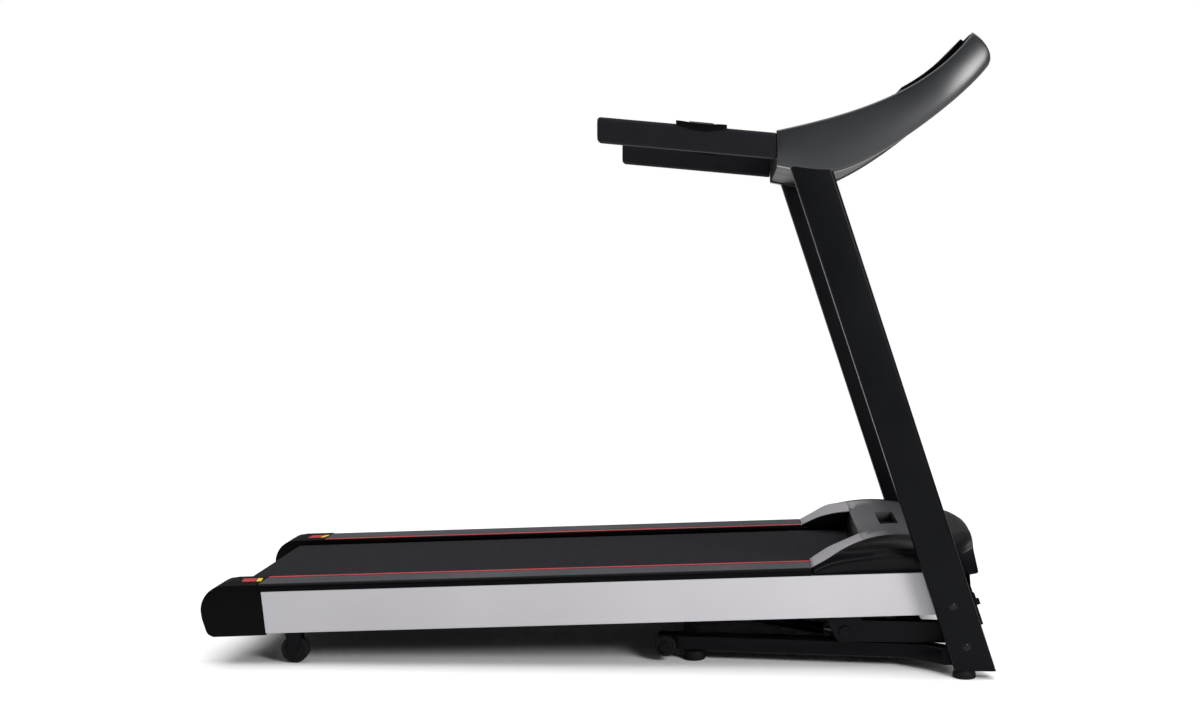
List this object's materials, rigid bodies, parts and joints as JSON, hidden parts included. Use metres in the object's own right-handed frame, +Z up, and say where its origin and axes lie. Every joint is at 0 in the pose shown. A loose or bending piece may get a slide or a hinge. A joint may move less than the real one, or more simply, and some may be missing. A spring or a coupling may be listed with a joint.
{
  "type": "treadmill",
  "caption": "Folding motorised treadmill with a running deck, a motor hood, leaning uprights, side handles and a curved console.",
  "frame": {"origin": "on the floor, under the centre of the whole treadmill's bounding box", "axes": "+X from the deck's rear end towards the console, +Y to the left of a runner who faces the console, +Z up"},
  "size_m": [1.6684, 0.748, 1.3157],
  "materials": {
    "black_paint": "satin black powder coat",
    "silver_cover": "satin silver",
    "dark_plastic": "moulded black",
    "gray_plastic": "moulded dark gray",
    "console_plastic": "satin dark gray",
    "foam": "dense foam",
    "rubber": "matte",
    "belt": "fine-textured belt",
    "steel": "zinc plated",
    "wood": "coated board",
    "screen": "polished dark window",
    "red_plastic": "moulded red",
    "green_plastic": "moulded green"
  },
  "bodies": {
    "base": {"base_frame": "black_paint", "upright_left": "black_paint", "upright_right": "black_paint", "front_foot_left": "rubber", "front_foot_right": "rubber", "rear_foot_left": "rubber", "rear_foot_right": "rubber", "upright_bolt_left": "steel", "upright_bolt_right": "steel", "pivot_bolt_left": "steel", "pivot_bolt_right": "steel", "handlebar_frame": "black_paint", "grip_left": "foam", "grip_right": "foam", "key_pod_left": "dark_plastic", "key_pod_right": "dark_plastic", "console_face": "console_plastic", "console_back": "console_plastic", "console_side_left": "console_plastic", "console_side_right": "console_plastic", "display_housing": "dark_plastic", "display_lens": "screen"},
    "start_button": {"start_button": "green_plastic"},
    "stop_button": {"stop_button": "red_plastic"},
    "safety_key": {"safety_key": "red_plastic"},
    "speed_key": {"speed_key": "gray_plastic"},
    "incline_key": {"incline_key": "gray_plastic"},
    "transport_wheel_left": {"transport_wheel_left": "rubber"},
    "transport_wheel_right": {"transport_wheel_right": "rubber"},
    "strut_rod": {"strut_rod": "steel"},
    "strut_cylinder": {"strut_cylinder": "black_paint"},
    "fold_shaft": {"fold_shaft": "steel"},
    "lift_frame": {"lift_frame": "black_paint"},
    "deck": {"deck_frame": "black_paint", "side_cover_left": "silver_cover", "side_cover_right": "silver_cover", "foot_rail_left": "gray_plastic", "foot_rail_right": "gray_plastic", "running_board": "wood", "running_belt": "belt", "drive_motor": "dark_plastic", "motor_hood": "dark_plastic", "belly_pan": "dark_plastic", "rear_cap_left": "dark_plastic", "rear_cap_right": "dark_plastic", "rear_guard": "dark_plastic", "motor_controller": "gray_plastic", "power_panel": "dark_plastic", "power_inlet": "gray_plastic", "drive_belt": "rubber", "incline_motor": "dark_plastic"},
    "front_roller": {"front_roller": "steel"},
    "rear_roller": {"rear_roller": "steel"},
    "motor_pulley": {"motor_pulley": "steel"},
    "incline_screw": {"incline_screw": "steel"},
    "deck_wheel_left": {"deck_wheel_left": "rubber"},
    "deck_wheel_right": {"deck_wheel_right": "rubber"},
    "power_switch": {"power_switch": "dark_plastic"},
    "reset_button": {"reset_button": "red_plastic"}
  },
  "joints": [
    {"name": "fold", "type": "hinge", "parent": "base", "child": "fold_shaft", "pos_m": [0.7725, 0, 0.0684], "axis": [0, 1, 0], "range_deg": [0, 56]},
    {"name": "incline", "type": "hinge", "parent": "fold_shaft", "child": "lift_frame", "pos_m": [0.7725, 0, 0.0684], "axis": [0, 1, 0], "range_deg": [0, 20]},
    {"name": "deck_tilt", "type": "hinge", "parent": "lift_frame", "child": "deck", "pos_m": [0.529, 0, 0.081], "axis": [0, 1, 0], "range_deg": [-24.25, 0.05]},
    {"name": "incline_screw_slide", "type": "slide", "parent": "deck", "child": "incline_screw", "axis": [0.0384, 0, -0.9993], "range_m": [0, 0.0534]},
    {"name": "strut_swing", "type": "hinge", "parent": "base", "child": "strut_rod", "pos_m": [0.5225, -0.13, 0.042], "axis": [0, 1, 0], "range_deg": [0, 75.41]},
    {"name": "strut_slide", "type": "slide", "parent": "strut_rod", "child": "strut_cylinder", "axis": [-0.9853, 0, 0.1711], "range_m": [0, 0.1933]},
    {"name": "front_roller_spin", "type": "hinge", "parent": "deck", "child": "front_roller", "pos_m": [0.59176, 0, 0.18613], "axis": [0, 1, 0], "continuous": true},
    {"name": "rear_roller_spin", "type": "hinge", "parent": "deck", "child": "rear_roller", "pos_m": [-0.76224, 0, 0.13412], "axis": [0, 1, 0], "continuous": true},
    {"name": "motor_spin", "type": "hinge", "parent": "deck", "child": "motor_pulley", "pos_m": [0.70921, 0.231, 0.20266], "axis": [0, 1, 0], "continuous": true},
    {"name": "start_button_press", "type": "slide", "parent": "base", "child": "start_button", "axis": [0.3413, 0, -0.9399], "range_m": [0, 0.0015], "stiffness_N_per_m": 400},
    {"name": "stop_button_press", "type": "slide", "parent": "base", "child": "stop_button", "axis": [0.3413, 0, -0.9399], "range_m": [0, 0.0015], "stiffness_N_per_m": 400},
    {"name": "speed_key_press", "type": "slide", "parent": "base", "child": "speed_key", "axis": [-0.0924, 0, -0.9957], "range_m": [0, 0.0015], "stiffness_N_per_m": 400},
    {"name": "incline_key_press", "type": "slide", "parent": "base", "child": "incline_key", "axis": [-0.0924, 0, -0.9957], "range_m": [0, 0.0015], "stiffness_N_per_m": 400},
    {"name": "safety_key_pull", "type": "slide", "parent": "base", "child": "safety_key", "axis": [-0.2709, 0, 0.9626], "range_m": [0, 0.03]},
    {"name": "power_switch_rock", "type": "hinge", "parent": "deck", "child": "power_switch", "pos_m": [0.80101, -0.262, 0.14464], "axis": [0, 1, 0], "range_deg": [-4, 4]},
    {"name": "reset_button_press", "type": "slide", "parent": "deck", "child": "reset_button", "axis": [-0.9482, 0, -0.3175], "range_m": [0, 0.003], "stiffness_N_per_m": 400},
    {"name": "transport_wheel_left_spin", "type": "hinge", "parent": "base", "child": "transport_wheel_left", "pos_m": [0.15, 0.2455, 0.0345], "axis": [0, 1, 0], "continuous": true},
    {"name": "deck_wheel_left_spin", "type": "hinge", "parent": "deck", "child": "deck_wheel_left", "pos_m": [-0.64, 0.286, 0.0292], "axis": [0, 1, 0], "continuous": true},
    {"name": "transport_wheel_right_spin", "type": "hinge", "parent": "base", "child": "transport_wheel_right", "pos_m": [0.15, -0.2455, 0.0345], "axis": [0, 1, 0], "continuous": true},
    {"name": "deck_wheel_right_spin", "type": "hinge", "parent": "deck", "child": "deck_wheel_right", "pos_m": [-0.64, -0.286, 0.0292], "axis": [0, 1, 0], "continuous": true}
  ],
  "couplings": [
    {"joint": "deck_tilt", "follows": "incline", "ratio": -1.2027},
    {"joint": "incline_screw_slide", "follows": "incline", "m_per_rad": 0.15018},
    {"joint": "strut_swing", "follows": "fold", "ratio": 1.3413},
    {"joint": "strut_slide", "follows": "fold", "m_per_rad": 0.1967},
    {"joint": "rear_roller_spin", "follows": "front_roller_spin", "ratio": 1},
    {"joint": "motor_spin", "follows": "front_roller_spin", "ratio": 2}
  ]
}
